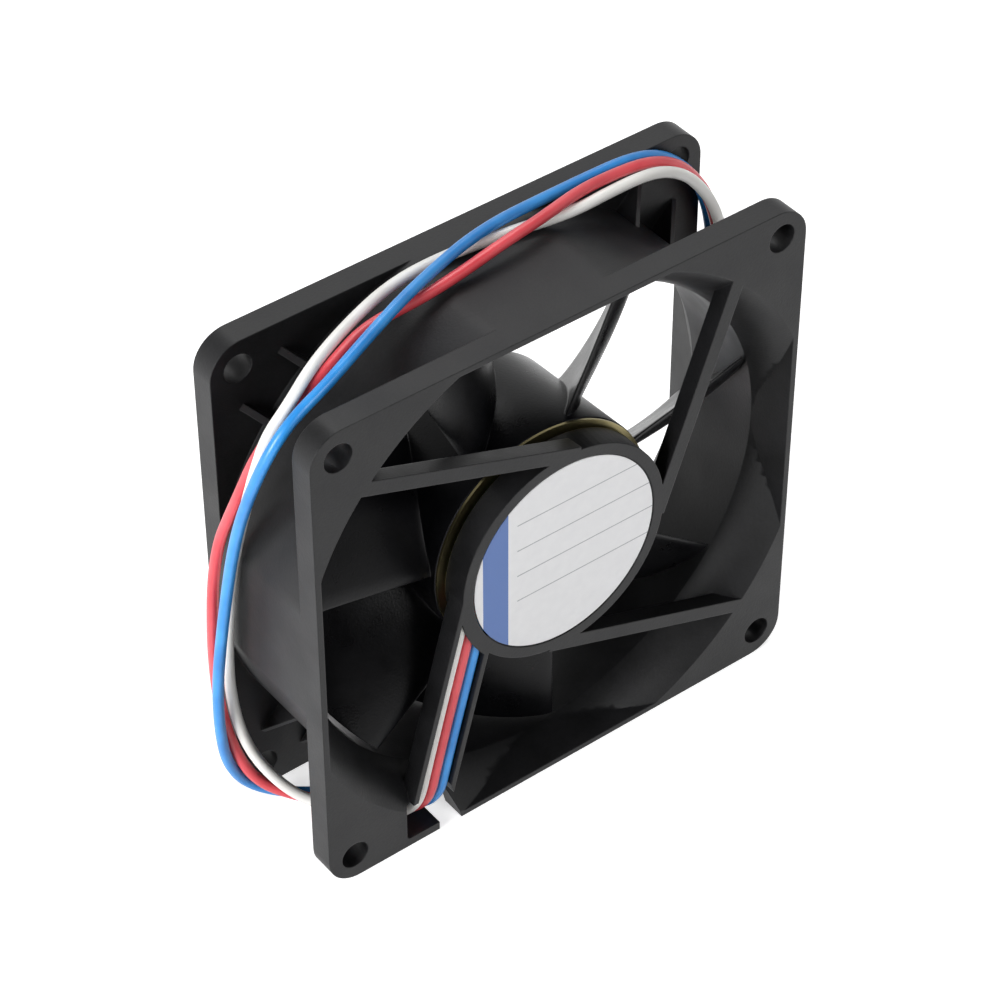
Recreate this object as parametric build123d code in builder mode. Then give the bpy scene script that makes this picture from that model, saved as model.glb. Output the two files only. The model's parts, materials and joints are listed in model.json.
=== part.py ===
from build123d import *
import os
from math import cos, sin, tan, radians, pi

os.makedirs("parts", exist_ok=True)

# Axial cooling fan, 80 mm square and 25.4 mm deep, millimetres.
# X is across, Z is up and Y is the axis of the rotor. The origin is the middle
# of the fan. The struts and the label are on the face at -Y, the intake at +Y.

# Square housing
size = 80.0
depth = 25.4
front_y = -depth / 2
back_y = depth / 2
flange_t = 3.8
flange_corner_r = 5.0
hole_edge = 4.25
hole_pitch = size - 2 * hole_edge
hole_r = 2.15

# Duct between the two flanges, flared at both ends
bore_edge = 2.0
bore_r = size / 2 - bore_edge
tube_wall = 2.9
tube_r = bore_r + tube_wall
flare_r = bore_r + 4.7
flare_depth = 6.3
flare_arc_r = 14.0
outlet_edge = 0.9
intake_edge = 0.5
rib_t = 1.0
rib_offset = 4.4
rib_outer_r = tube_r + 5.1
rib_reach = 5.5

# Fixed hub, carried by four struts tangent to it
hub_base_r = 17.0
hub_base_t = 1.3
hub_skirt_wall = 1.2
hub_skirt_l = 4.0
base_inner_y = front_y + hub_base_t
hub_skirt_end_y = front_y + hub_skirt_l
label_pocket_r = hub_base_r - 1.7
label_pocket_depth = 0.2
label_r = label_pocket_r - 0.2
label_t = 0.12
strut_w = 2.2
strut_rear_w = 1.6
strut_depth = 2.8
strut_angle = 160.0
strut_start = 3.5
strut_end = tube_r + 0.6

# Strut that holds the three leads in an open channel
channel_angle = 255.0
channel_outer_w = 7.0
channel_far = hub_base_r - 0.5
channel_near = channel_far - channel_outer_w
channel_wall = 0.8
channel_depth = 2.0
channel_strut_depth = channel_depth + 1.0
channel_strut_start = 3.5
channel_strut_end = bore_r + 0.9
channel_slot_start = 3.0
channel_slot_end = bore_r + 0.6
hub_notch_r = hub_base_r + 0.5
bridge_t = 0.35

# Window of the flange that the leads leave the channel by, and its slit
lead_window_w = 6.0
lead_window_h = 6.0
lead_window_x = -24.0
lead_window_z = 4.4 - size / 2
lead_window_round = 0.6
slit_x = lead_window_x + 2.5
slit_head_w = 2.1
slit_foot_w = 4.0

# Leads
lead_d = 1.6
core_d = 0.9
tip_length = 5.0
joint_d = lead_d + 0.02
joint_length = 1.2
lead_clearance = 0.03

# Bearings, 3 x 8 x 4
shaft_r = 1.5
bearing_r = 4.0
bearing_w = 4.0
bearing_pitch_r = (shaft_r + bearing_r) / 2
ball_r = 0.76
ball_count = 7
ball_play = 0.04
inner_ring_r = bearing_pitch_r - 0.55
outer_ring_r = bearing_pitch_r + 0.55
shield_t = 0.2
shield_gap = 0.05
shield_bore_gap = 0.12
cage_t = 0.6
cage_w = 0.5
tube_fit = 0.02

# Bearing tube of the hub
bearing_tube_r = bearing_r + 1.2
bearing_tube_end_y = back_y - 6.2
shoulder_r = outer_ring_r
front_bearing_y = base_inner_y + 1.4
rear_bearing_y = bearing_tube_end_y - bearing_w - 0.1

# Circuit board
board_r = hub_base_r - hub_skirt_wall - 0.6
board_hole_r = bearing_tube_r + 0.2
board_t = 1.0
board_front_y = base_inner_y + 2.0
board_back_y = board_front_y + board_t
driver_at = (board_r - 5.8, 5.0)
driver_w = 3.9
driver_l = 4.9
driver_h = 1.4
driver_chamfer = 0.25
leg_row_pitch = driver_w + 0.7
leg_pitch = 1.27
leg_l = 0.9
leg_w = 0.42
leg_t = 0.3
capacitor_places = ((2.0, board_r - 3.2), (-4.0, board_r - 3.7), (7.5, 5.7 - board_r))
capacitor_l = 2.0
capacitor_w = 1.25
capacitor_h = 0.9
sensor_angle = 225.0
sensor_t = 1.5
sensor_w = 4.0
sensor_h = 3.0

# Rotor
hub_back_r = 17.1
hub_draft = 0.7
hub_front_r = hub_back_r + hub_draft
hub_round = 1.4
hub_end_t = 1.5
rotor_front_y = front_y + 5.2
rotor_back_y = back_y - 0.5
yoke_r = hub_back_r - 0.7
yoke_wall = 0.7
yoke_round = 0.8
yoke_back_y = rotor_back_y - hub_end_t
yoke_lip_r = hub_front_r - 0.1
yoke_lip_t = 0.35
magnet_t = 1.4
magnet_r = yoke_r - yoke_wall
magnet_overhang = 2.0
bush_r = 3.6
shaft_front_y = front_bearing_y - 0.9
shaft_back_y = yoke_back_y + 0.9
shaft_chamfer = 0.2

# Retaining ring and its groove, and the disc spring that loads the bearings
clip_t = 0.4
clip_y = front_bearing_y - clip_t - 0.1
clip_r = 2.6
clip_groove_r = 1.15
clip_gap = 1.3
spring_t = 0.3
spring_rise = 0.6
spring_gap = 0.02
spring_y = rear_bearing_y + bearing_w + spring_gap
spring_inner_r = shaft_r + 0.1
spring_outer_r = bush_r - 0.3
bush_front_y = spring_y + spring_t + spring_rise + spring_gap

# Stator
air_gap = 0.4
core_r = magnet_r - magnet_t - air_gap
core_half = depth / 2 - 9.2
core_hub_r = bearing_tube_r + 2.0
pole_count = 4
pole_neck_w = 4.6
pole_shoe_t = 1.9
pole_shoe_r = core_r - pole_shoe_t
pole_gap = 2.4
neck_overlap = 1.2
insulator_t = 1.1
insulator_flange_t = 1.2
insulator_neck_overlap = 1.0
insulator_rim = 0.5
winding_inner_r = core_hub_r + 1.0
winding_outer_r = pole_shoe_r - 0.7
winding_t = 1.7
winding_corner_r = 0.9 * winding_t
magnet_half = core_half + magnet_overhang
sensor_r = pole_shoe_r - 0.8
wire_pin_r = 0.32
wire_pin_ring_r = core_r - 0.9
wire_pin_angle = 17.5
wire_pin_end_y = -core_half - insulator_t

# Blades
blade_count = 7
blade_gap = 0.6
blade_tip_r = bore_r - blade_gap
blade_front_y = rotor_front_y + 1.05
blade_back_y = rotor_back_y - 3.66
blade_root_r = yoke_r + 0.3
blade_t = 1.5
blade_edge_t = 0.7
blade_bow = -1.33
blade_chord_root = 47.0
blade_chord_tip = 26.5
blade_sweep = 5.6
blade_sweep_power = 1.58
blade_first_angle = 39.6
blade_rows = 8
blade_stations = 7
blade_trim = 0.5


def at_y(y):
    """Sketch plane square to the fan's axis: sketch x is X, sketch y is Z."""
    return Plane.XZ.offset(-y)


def polar(r, angle):
    """Point of a front view at radius r, with the angle counted from +X towards +Z."""
    return (r * cos(radians(angle)), r * sin(radians(angle)))


def strut_point(angle, offset, along):
    """Point of a front view beside a line through the centre.

    The line has the given angle, along is the way along it, and offset is the
    distance beside it, on the side that a turn from +Z to +X reaches last.
    """
    turn = radians(angle)
    return (along * cos(turn) + offset * sin(turn), along * sin(turn) - offset * cos(turn))


def rib_plane(angle, offset):
    """Plane through a line of strut_point, square to the front: sketch x is along, y is Y."""
    turn = radians(angle)
    return Plane(
        origin=(offset * sin(turn), 0, -offset * cos(turn)),
        x_dir=(cos(turn), 0, sin(turn)),
        z_dir=(sin(turn), 0, -cos(turn)),
    )


def export(piece, name):
    """Give a piece its name and write it to the parts folder."""
    piece.part.label = name
    export_step(piece.part, "parts/" + name + ".step")


def flared_opening(edge):
    """Cutter for the opening at -Y, a flare flattened where it comes near the sides.

    Its flats leave a wall as thick as edge at the sides of the flange.
    """
    half = size / 2 - edge
    with BuildPart() as cutter:
        with BuildSketch(Plane.XY):
            with BuildLine():
                Polyline((0, front_y), (flare_r, front_y))
                RadiusArc((flare_r, front_y), (bore_r, front_y + flare_depth), flare_arc_r)
                Polyline((bore_r, front_y + flare_depth), (0, front_y + flare_depth), (0, front_y))
            make_face()
        revolve(axis=Axis.Y)
        with BuildSketch(at_y(front_y)):
            Rectangle(2 * half, 2 * half)
        with BuildSketch(at_y(front_y + flare_depth)):
            Rectangle(2 * bore_r, 2 * bore_r)
        loft(mode=Mode.INTERSECT)
    return cutter.part


outlet_flare = flared_opening(outlet_edge)
intake_flare = flared_opening(intake_edge).mirror(Plane.XZ)

# Housing: one plain strut, wider in front than behind, drawn in the plane across it
strut_mid = hub_base_r - strut_w / 2
strut_cos = cos(radians(strut_angle))
strut_sin = sin(radians(strut_angle))
strut_plane = Plane(
    origin=(strut_mid * strut_sin, front_y, -strut_mid * strut_cos),
    x_dir=(strut_sin, 0, -strut_cos),
    z_dir=(strut_cos, 0, strut_sin),
)
with BuildPart() as strut:
    with BuildSketch(strut_plane.offset(strut_start)):
        with BuildLine():
            Polyline(
                (-strut_w / 2, 0),
                (strut_w / 2, 0),
                (strut_rear_w / 2, strut_depth),
                (-strut_rear_w / 2, strut_depth),
                close=True,
            )
        make_face()
    extrude(amount=strut_end - strut_start)

# Housing: flanges, tube, ribs, hub and struts as one moulding
with BuildPart() as housing_frame:
    for y in (front_y, back_y - flange_t):
        with BuildSketch(at_y(y)):
            RectangleRounded(size, size, flange_corner_r)
        extrude(amount=-flange_t)
    with BuildSketch(at_y(front_y)):
        Circle(tube_r)
        Rectangle(size, size, mode=Mode.INTERSECT)
    extrude(amount=-depth)
    for corner in (45, 135, 225, 315):
        for side in (-1, 1):
            for face_y, inwards in ((front_y + flange_t, 1), (back_y - flange_t, -1)):
                with BuildSketch(rib_plane(corner, side * rib_offset)):
                    with BuildLine():
                        Polyline(
                            (bore_r + 1, face_y - inwards * flange_t / 2),
                            (rib_outer_r, face_y - inwards * flange_t / 2),
                            (rib_outer_r, face_y),
                            (bore_r + 1, face_y + inwards * rib_reach),
                            close=True,
                        )
                    make_face()
                extrude(amount=rib_t / 2, both=True)
    with BuildSketch(at_y(front_y)):
        Circle(bore_r)
    extrude(amount=-depth, mode=Mode.SUBTRACT)
    add(outlet_flare, mode=Mode.SUBTRACT)
    add(intake_flare, mode=Mode.SUBTRACT)
    with BuildSketch(at_y(front_y)):
        with GridLocations(hole_pitch, hole_pitch, 2, 2):
            Circle(hole_r)
    extrude(amount=-depth, mode=Mode.SUBTRACT)
    # hub base with its skirt and the bearing tube
    with BuildSketch(at_y(front_y)):
        Circle(hub_base_r)
    extrude(amount=-(base_inner_y - front_y))
    with BuildSketch(at_y(base_inner_y)):
        Circle(hub_base_r)
        Circle(hub_base_r - hub_skirt_wall, mode=Mode.SUBTRACT)
    extrude(amount=-(hub_skirt_end_y - base_inner_y))
    with BuildSketch(at_y(base_inner_y)):
        Circle(bearing_tube_r)
    extrude(amount=-(bearing_tube_end_y - base_inner_y))
    # struts
    for k in range(3):
        add(strut.part.rotate(Axis.Y, 90 * k))
    with BuildSketch(at_y(front_y)):
        with Locations(
            strut_point(
                channel_angle,
                (channel_near + channel_far) / 2,
                (channel_strut_start + channel_strut_end) / 2,
            )
        ):
            Rectangle(
                channel_strut_end - channel_strut_start,
                channel_far - channel_near,
                rotation=channel_angle,
            )
    extrude(amount=-channel_strut_depth)
    with BuildSketch(at_y(base_inner_y)):
        Circle(hub_base_r - hub_skirt_wall)
        Circle(bearing_tube_r, mode=Mode.SUBTRACT)
    extrude(amount=-(hub_skirt_end_y - base_inner_y), mode=Mode.SUBTRACT)
    # pockets for the label, the bearings and the shaft
    with BuildSketch(at_y(front_y)):
        Circle(label_pocket_r)
    extrude(amount=-label_pocket_depth, mode=Mode.SUBTRACT)
    for y, radius, length in (
        (front_bearing_y, bearing_r + tube_fit, bearing_w),
        (base_inner_y, shoulder_r, bearing_tube_end_y - base_inner_y),
        (rear_bearing_y, bearing_r + tube_fit, bearing_tube_end_y - rear_bearing_y),
        (base_inner_y, bearing_r + tube_fit, front_bearing_y - base_inner_y),
    ):
        with BuildSketch(at_y(y)):
            Circle(radius)
        extrude(amount=-length, mode=Mode.SUBTRACT)
    # lead channel, its way into the hub and the window that it ends in
    channel_mid = (channel_near + channel_far) / 2
    channel_w = channel_far - channel_near - 2 * channel_wall
    with BuildSketch(at_y(front_y)):
        with Locations(strut_point(channel_angle, channel_mid, (channel_slot_start + channel_slot_end) / 2)):
            Rectangle(channel_slot_end - channel_slot_start, channel_w, rotation=channel_angle)
        Circle(hub_notch_r, mode=Mode.SUBTRACT)
    extrude(amount=-channel_depth, mode=Mode.SUBTRACT)
    notch_l = hub_notch_r - channel_slot_start
    notch_at = strut_point(channel_angle, channel_mid, channel_slot_start + notch_l / 2)
    with BuildSketch(at_y(front_y)):
        Circle(label_pocket_r)
        with Locations(notch_at):
            Rectangle(notch_l, channel_w, rotation=channel_angle, mode=Mode.INTERSECT)
    extrude(amount=-hub_base_t, mode=Mode.SUBTRACT)
    # behind the hub's rim, which bridges the leads between the label and the strut
    with BuildSketch(at_y(front_y + bridge_t)):
        Circle(hub_notch_r)
        with Locations(notch_at):
            Rectangle(notch_l, channel_w, rotation=channel_angle, mode=Mode.INTERSECT)
    extrude(amount=-(hub_skirt_end_y - front_y - bridge_t), mode=Mode.SUBTRACT)
    with BuildSketch(at_y(front_y)):
        with Locations((lead_window_x, lead_window_z)):
            RectangleRounded(lead_window_w, lead_window_h, lead_window_round)
    extrude(amount=-flange_t, mode=Mode.SUBTRACT)
    with BuildSketch(at_y(front_y)):
        with BuildLine():
            Polyline(
                (slit_x, lead_window_z + lead_window_h / 2),
                (slit_x, -size / 2 - 1),
                (slit_x + slit_foot_w, -size / 2 - 1),
                (slit_x + slit_head_w, lead_window_z + lead_window_h / 2),
                close=True,
            )
        make_face()
    extrude(amount=-flange_t, mode=Mode.SUBTRACT)
export(housing_frame, "housing_frame")

with BuildPart() as label:
    with BuildSketch(at_y(front_y + label_pocket_depth - label_t)):
        Circle(label_r)
    extrude(amount=-label_t)
export(label, "label")

# Circuit board with its parts: the soldered joints of the leads, the driver,
# the sensor that reads the magnet, two capacitors and the pins of the windings.
with BuildPart() as circuit_board:
    with BuildSketch(at_y(board_front_y)):
        Circle(board_r)
        Circle(board_hole_r, mode=Mode.SUBTRACT)
        with PolarLocations(wire_pin_ring_r, pole_count, start_angle=wire_pin_angle):
            Circle(wire_pin_r, mode=Mode.SUBTRACT)
    extrude(amount=-board_t)
export(circuit_board, "circuit_board")

with BuildPart() as winding_pins:
    with BuildSketch(at_y(board_front_y)):
        with PolarLocations(wire_pin_ring_r, pole_count, start_angle=wire_pin_angle):
            Circle(wire_pin_r)
    extrude(amount=-(wire_pin_end_y - board_front_y))
export(winding_pins, "winding_pins")

with BuildPart() as driver_chip:
    with BuildSketch(at_y(board_front_y)):
        with Locations(driver_at):
            Rectangle(driver_w, driver_l)
    extrude(amount=driver_h)
    chamfer(driver_chip.faces().sort_by(Axis.Y)[0].edges(), driver_chamfer)
    with BuildSketch(at_y(board_front_y)):
        with Locations(driver_at):
            with GridLocations(leg_row_pitch, leg_pitch, 2, 4):
                Rectangle(leg_l, leg_w)
    extrude(amount=leg_t)
export(driver_chip, "driver_chip")

with BuildPart() as capacitors:
    for place in capacitor_places:
        with BuildSketch(at_y(board_front_y)):
            with Locations(place):
                Rectangle(capacitor_l, capacitor_w)
        extrude(amount=capacitor_h)
export(capacitors, "capacitors")

with BuildPart() as hall_sensor:
    with BuildSketch(at_y(board_back_y)):
        with Locations(polar(sensor_r, sensor_angle)):
            Rectangle(sensor_t, sensor_w, rotation=sensor_angle)
    extrude(amount=-sensor_h)
export(hall_sensor, "hall_sensor")

# Stator: laminated core with four poles, an insulator on each end and a
# winding round the neck of each pole.
with BuildPart() as stator_core:
    with BuildSketch(at_y(-core_half)):
        Circle(core_r)
        Circle(pole_shoe_r, mode=Mode.SUBTRACT)
        with PolarLocations(core_r, pole_count, start_angle=45):
            Rectangle(2 * (core_r - pole_shoe_r) + 2, pole_gap, mode=Mode.SUBTRACT)
        with PolarLocations((core_hub_r + pole_shoe_r) / 2, pole_count):
            Rectangle(pole_shoe_r - core_hub_r + 2 * neck_overlap, pole_neck_w)
        Circle(core_hub_r)
        Circle(bearing_tube_r, mode=Mode.SUBTRACT)
    extrude(amount=-2 * core_half)
export(stator_core, "stator_core")

for name, y in (("front_insulator", -core_half - insulator_t), ("rear_insulator", core_half)):
    with BuildPart() as insulator:
        with BuildSketch(at_y(y)):
            Circle(core_hub_r + insulator_rim)
            with PolarLocations((core_hub_r + pole_shoe_r) / 2, pole_count):
                Rectangle(pole_shoe_r - core_hub_r + 2 * insulator_neck_overlap, pole_neck_w)
            with PolarLocations(pole_shoe_r + insulator_flange_t / 3, pole_count):
                Rectangle(insulator_flange_t, 2 * pole_neck_w)
            Circle(bearing_tube_r, mode=Mode.SUBTRACT)
        extrude(amount=-insulator_t)
    export(insulator, name)

for k in range(pole_count):
    with BuildPart() as winding:
        with BuildSketch(Plane.YZ.offset(winding_inner_r)):
            RectangleRounded(
                2 * (core_half + insulator_t + winding_t), pole_neck_w + 2 * winding_t, winding_corner_r
            )
            Rectangle(2 * (core_half + insulator_t), pole_neck_w, mode=Mode.SUBTRACT)
        extrude(amount=winding_outer_r - winding_inner_r)
        placed = winding.part.rotate(Axis.Y, -90 * k)
        add(placed, mode=Mode.REPLACE)
    export(winding, "winding_" + str(k + 1))

# Ball bearings. The ring profiles are revolved, and the raceways are cut by the
# circle that the ball's surface runs on.
groove_r = ball_r + ball_play


def bearing(name, y):
    """Rings, shields, balls and cage of one bearing, from y rearwards."""
    middle = y + bearing_w / 2
    for part_name, r_in, r_out in (
        (name + "_inner_ring", shaft_r, inner_ring_r),
        (name + "_outer_ring", outer_ring_r, bearing_r),
    ):
        with BuildPart() as ring:
            with BuildSketch(Plane.XY):
                with Locations(((r_in + r_out) / 2, middle)):
                    Rectangle(r_out - r_in, bearing_w)
                with Locations((bearing_pitch_r, middle)):
                    Circle(groove_r, mode=Mode.SUBTRACT)
            revolve(axis=Axis.Y)
        export(ring, part_name)
    with BuildPart() as shields:
        for shield_y in (y + shield_gap, y + bearing_w - shield_t - shield_gap):
            with BuildSketch(at_y(shield_y)):
                Circle(outer_ring_r)
                Circle(inner_ring_r + shield_bore_gap, mode=Mode.SUBTRACT)
            extrude(amount=-shield_t)
    export(shields, name + "_shields")
    with BuildPart() as ball_set:
        with Locations(Location((0, middle, 0), (90, 0, 0))):
            with PolarLocations(bearing_pitch_r, ball_count):
                Sphere(ball_r)
    export(ball_set, name + "_balls")
    with BuildPart() as cage:
        with BuildSketch(at_y(middle + ball_r + ball_play)):
            Circle(bearing_pitch_r + cage_t / 2)
            Circle(bearing_pitch_r - cage_t / 2, mode=Mode.SUBTRACT)
        extrude(amount=-cage_w)
    export(cage, name + "_cage")


bearing("front_bearing", front_bearing_y)
bearing("rear_bearing", rear_bearing_y)

# Rotor: shaft with its retaining ring, bush, spring, steel yoke and magnet
with BuildPart() as shaft:
    with BuildSketch(at_y(shaft_front_y)):
        Circle(shaft_r)
    extrude(amount=-(shaft_back_y - shaft_front_y))
    chamfer(shaft.edges().filter_by(GeomType.CIRCLE), shaft_chamfer)
    with BuildSketch(at_y(clip_y)):
        Circle(2 * shaft_r)
        Circle(clip_groove_r, mode=Mode.SUBTRACT)
    extrude(amount=-clip_t, mode=Mode.SUBTRACT)
export(shaft, "shaft")

with BuildPart() as retaining_ring:
    with BuildSketch(at_y(clip_y)):
        Circle(clip_r)
        Circle(clip_groove_r, mode=Mode.SUBTRACT)
        with Locations((0, clip_r)):
            Rectangle(clip_gap, 2 * (clip_r - clip_groove_r) + clip_gap, mode=Mode.SUBTRACT)
    extrude(amount=-clip_t)
export(retaining_ring, "retaining_ring")

with BuildPart() as shaft_bush:
    with BuildSketch(at_y(bush_front_y)):
        Circle(bush_r)
        Circle(shaft_r, mode=Mode.SUBTRACT)
    extrude(amount=-(yoke_back_y - bush_front_y))
export(shaft_bush, "shaft_bush")

with BuildPart() as preload_spring:
    with BuildSketch(Plane.XY):
        with BuildLine():
            Polyline(
                (spring_inner_r, spring_y),
                (spring_inner_r, spring_y + spring_t),
                (spring_outer_r, spring_y + spring_t + spring_rise),
                (spring_outer_r, spring_y + spring_rise),
                close=True,
            )
        make_face()
    revolve(axis=Axis.Y)
export(preload_spring, "preload_spring")

with BuildPart() as yoke:
    with BuildSketch(Plane.XY):
        with BuildLine():
            Polyline(
                (magnet_r, rotor_front_y - yoke_lip_t),
                (yoke_lip_r, rotor_front_y - yoke_lip_t),
                (yoke_lip_r, rotor_front_y),
                (yoke_r, rotor_front_y),
                (yoke_r, yoke_back_y),
                (bush_r, yoke_back_y),
                (bush_r, yoke_back_y - yoke_wall),
                (magnet_r, yoke_back_y - yoke_wall),
                close=True,
            )
        make_face()
    revolve(axis=Axis.Y)
    back_rims = yoke.edges().filter_by(GeomType.CIRCLE).group_by(Axis.Y)[-1]
    fillet(back_rims.sort_by(SortBy.RADIUS)[-1], yoke_round)
export(yoke, "rotor_yoke")

with BuildPart() as magnet_ring:
    with BuildSketch(at_y(-magnet_half)):
        Circle(magnet_r)
        Circle(magnet_r - magnet_t, mode=Mode.SUBTRACT)
    extrude(amount=-2 * magnet_half)
export(magnet_ring, "magnet_ring")


# One blade. From the hub to the tip its middle turns back against the rotation,
# and across its width it climbs from the outlet side to the intake side.
def blade_point(r, s, side):
    """Point of the blade at radius r, on its lower side for -1 and its upper side for 1.

    s runs from the edge at the outlet, 0, to the edge at the intake, 1. On the
    unrolled cylinder of radius r the section is a shallow arc whose thickness
    grows towards its middle, and the cylinder is then rolled up again.
    """
    span = max(r - hub_front_r, 0) / (blade_tip_r - hub_front_r)
    width = blade_chord_root + (blade_chord_tip - blade_chord_root) * span
    turn = radians(width * (s - 0.5) - blade_sweep * span ** blade_sweep_power)
    rise = blade_back_y - blade_front_y
    slope = rise + blade_bow * 4 * (1 - 2 * s)
    run = r * radians(width)
    half = side * (blade_edge_t + (blade_t - blade_edge_t) * sin(pi * s)) / 2
    length = (run ** 2 + slope ** 2) ** 0.5
    turn -= half * slope / length / r
    y = blade_front_y + s * rise + blade_bow * 4 * s * (1 - s) + half * run / length
    return Vector(r * sin(turn), y, r * cos(turn))


def blade_face(side):
    """Smooth face through the points of one side of the blade."""
    first_r = blade_root_r - blade_trim
    last_r = blade_tip_r + blade_trim
    radii = [first_r + k * (last_r - first_r) / (blade_rows - 1) for k in range(blade_rows)]
    stations = [k / (blade_stations - 1) for k in range(blade_stations)]
    rows = [[blade_point(r, s, side) for s in stations] for r in radii]
    return Face.make_surface_from_array_of_points(rows, tol=0.01, min_deg=3, max_deg=5)


lower_side = blade_face(-1)
upper_side = blade_face(1)
edge_walls = []
for lower_edge in lower_side.edges():
    upper_edge = upper_side.edges().sort_by_distance(lower_edge.center())[0]
    edge_walls.append(Face.make_surface_from_curves(lower_edge, upper_edge))
blade_blank = Solid(Shell([lower_side, upper_side] + edge_walls))

with BuildPart() as blade:
    add(blade_blank)
    with BuildSketch(at_y(rotor_front_y)):
        Circle(blade_tip_r)
        Circle(blade_root_r, mode=Mode.SUBTRACT)
    extrude(amount=-(rotor_back_y - rotor_front_y), mode=Mode.INTERSECT)
print("blade volume", round(blade.part.volume, 1), "valid", blade.part.is_valid)

with BuildPart() as impeller:
    with BuildSketch(Plane.XY):
        with BuildLine():
            Polyline(
                (yoke_r, yoke_back_y - yoke_round),
                (yoke_r, rotor_front_y),
                (hub_front_r, rotor_front_y),
                (hub_back_r, rotor_back_y),
                (0, rotor_back_y),
                (0, shaft_back_y),
                (shaft_r, shaft_back_y),
                (shaft_r, yoke_back_y),
                (yoke_r - yoke_round, yoke_back_y),
            )
            RadiusArc((yoke_r - yoke_round, yoke_back_y), (yoke_r, yoke_back_y - yoke_round), yoke_round)
        make_face()
    revolve(axis=Axis.Y)
    back_rims = impeller.edges().filter_by(GeomType.CIRCLE).group_by(Axis.Y)[-1]
    fillet(back_rims.sort_by(SortBy.RADIUS)[-1], hub_round)
    for k in range(blade_count):
        add(blade.part.rotate(Axis.Y, blade_first_angle + k * 360 / blade_count))
export(impeller, "impeller")


# Leads. Each runs from its joint on the board, over the edge of the hub, along
# the open channel, through the window of the flange, and round the fan between
# its flanges: up the side at -X, over the top, down the side at +X, and on to
# the surface behind the fan. The points are X, Y, Z.
def channel_lead(offset, along, y):
    """Point of a lead in the channel, at its distance beside the centre line."""
    x, z = strut_point(channel_angle, offset, along)
    return (x, y, z)


lead_y = front_y + channel_depth - lead_d / 2 - lead_clearance
board_lead_y = board_front_y - lead_d / 2 - lead_clearance
row_margin = channel_wall + lead_d / 2 + 0.15
row = (channel_far - row_margin, channel_mid, channel_near + row_margin)

white_route = [
    channel_lead(12.6, 0.4, board_lead_y),
    channel_lead(13.9, 4.3, board_lead_y - 0.1),
    channel_lead(row[0], 7.8, lead_y),
    channel_lead(row[0] - 0.02, 12.6, lead_y),
    channel_lead(row[0], 23.0, lead_y),
    channel_lead(row[0] - 0.1, 33.0, lead_y),
    (-24.1, lead_y, -33.7),
    (-25.2, -9.7, -36.5),
    (-27.6, -7.0, -37.8),
    (-31.0, -3.4, -38.0),
    (-35.2, 0.9, -36.4),
    (-38.2, 4.2, -32.2),
    (-40.2, 6.6, -26.6),
    (-41.1, 7.6, -19.0),
    (-41.3, 7.5, -11.0),
    (-41.2, 6.6, -2.4),
    (-41.1, 5.3, 6.4),
    (-41.0, 3.1, 14.2),
    (-41.0, 0.6, 21.6),
    (-40.8, -1.8, 29.0),
    (-39.7, -3.1, 34.8),
    (-36.6, -3.4, 38.2),
    (-31.0, -1.0, 40.6),
    (-22.6, 2.5, 41.2),
    (-14.0, 5.6, 40.95),
    (-5.5, 6.1, 40.88),
    (4.0, 5.0, 40.88),
    (13.1, 3.3, 40.9),
    (21.0, 3.5, 41.2),
    (27.2, 3.6, 40.9),
    (32.0, 3.9, 38.5),
    (35.8, 4.4, 34.6),
    (39.0, 4.4, 29.4),
    (41.0, 4.2, 22.0),
    (41.6, 4.0, 8.0),
    (41.5, 3.7, -10.0),
    (41.8, 4.0, -24.0),
    (42.8, 5.6, -33.0),
    (42.4, 10.0, -38.3),
    (39.5, 16.5, -39.15),
    (33.0, 21.5, -39.15),
    (24.0, 24.2, -39.15),
    (14.0, 24.0, -39.15),
    (6.0, 22.4, -39.15),
]
red_route = [
    channel_lead(10.8, 3.4, board_lead_y),
    channel_lead(12.35, 6.4, board_lead_y - 0.1),
    channel_lead(row[1], 10.2, lead_y),
    channel_lead(row[1] - 0.02, 15.2, lead_y),
    channel_lead(row[1], 25.0, lead_y),
    channel_lead(row[1] - 0.1, 33.4, lead_y),
    (-22.3, lead_y, -33.9),
    (-23.6, -9.7, -36.8),
    (-26.0, -6.6, -38.4),
    (-29.8, -1.7, -39.1),
    (-34.2, 2.7, -38.2),
    (-38.8, 5.8, -35.2),
    (-41.2, 7.6, -29.0),
    (-42.4, 8.7, -20.0),
    (-43.0, 8.3, -11.6),
    (-43.3, 7.4, -3.0),
    (-42.9, 7.0, 5.0),
    (-42.0, 6.4, 11.4),
    (-41.3, 4.5, 16.8),
    (-40.8, 2.1, 22.6),
    (-39.5, -0.1, 29.4),
    (-36.4, -2.2, 35.5),
    (-32.2, -2.4, 38.5),
    (-28.0, -1.6, 40.2),
    (-21.8, 0.6, 40.95),
    (-13.0, 0.9, 40.9),
    (-6.0, 1.3, 41.6),
    (0.6, 1.9, 42.5),
    (8.0, 2.9, 42.7),
    (15.5, 4.8, 42.4),
    (22.5, 5.9, 41.4),
    (28.2, 6.0, 40.7),
    (33.2, 6.2, 38.2),
    (37.0, 6.3, 34.0),
    (40.0, 6.3, 28.6),
    (41.8, 6.1, 21.0),
    (42.3, 5.9, 8.0),
    (42.2, 5.7, -9.0),
    (42.6, 6.2, -22.0),
    (44.0, 8.0, -31.5),
    (44.6, 12.6, -37.6),
    (42.4, 19.6, -39.15),
    (36.0, 25.6, -39.15),
    (27.0, 28.6, -39.15),
    (17.0, 29.6, -39.15),
    (8.0, 29.8, -39.15),
]
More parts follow.
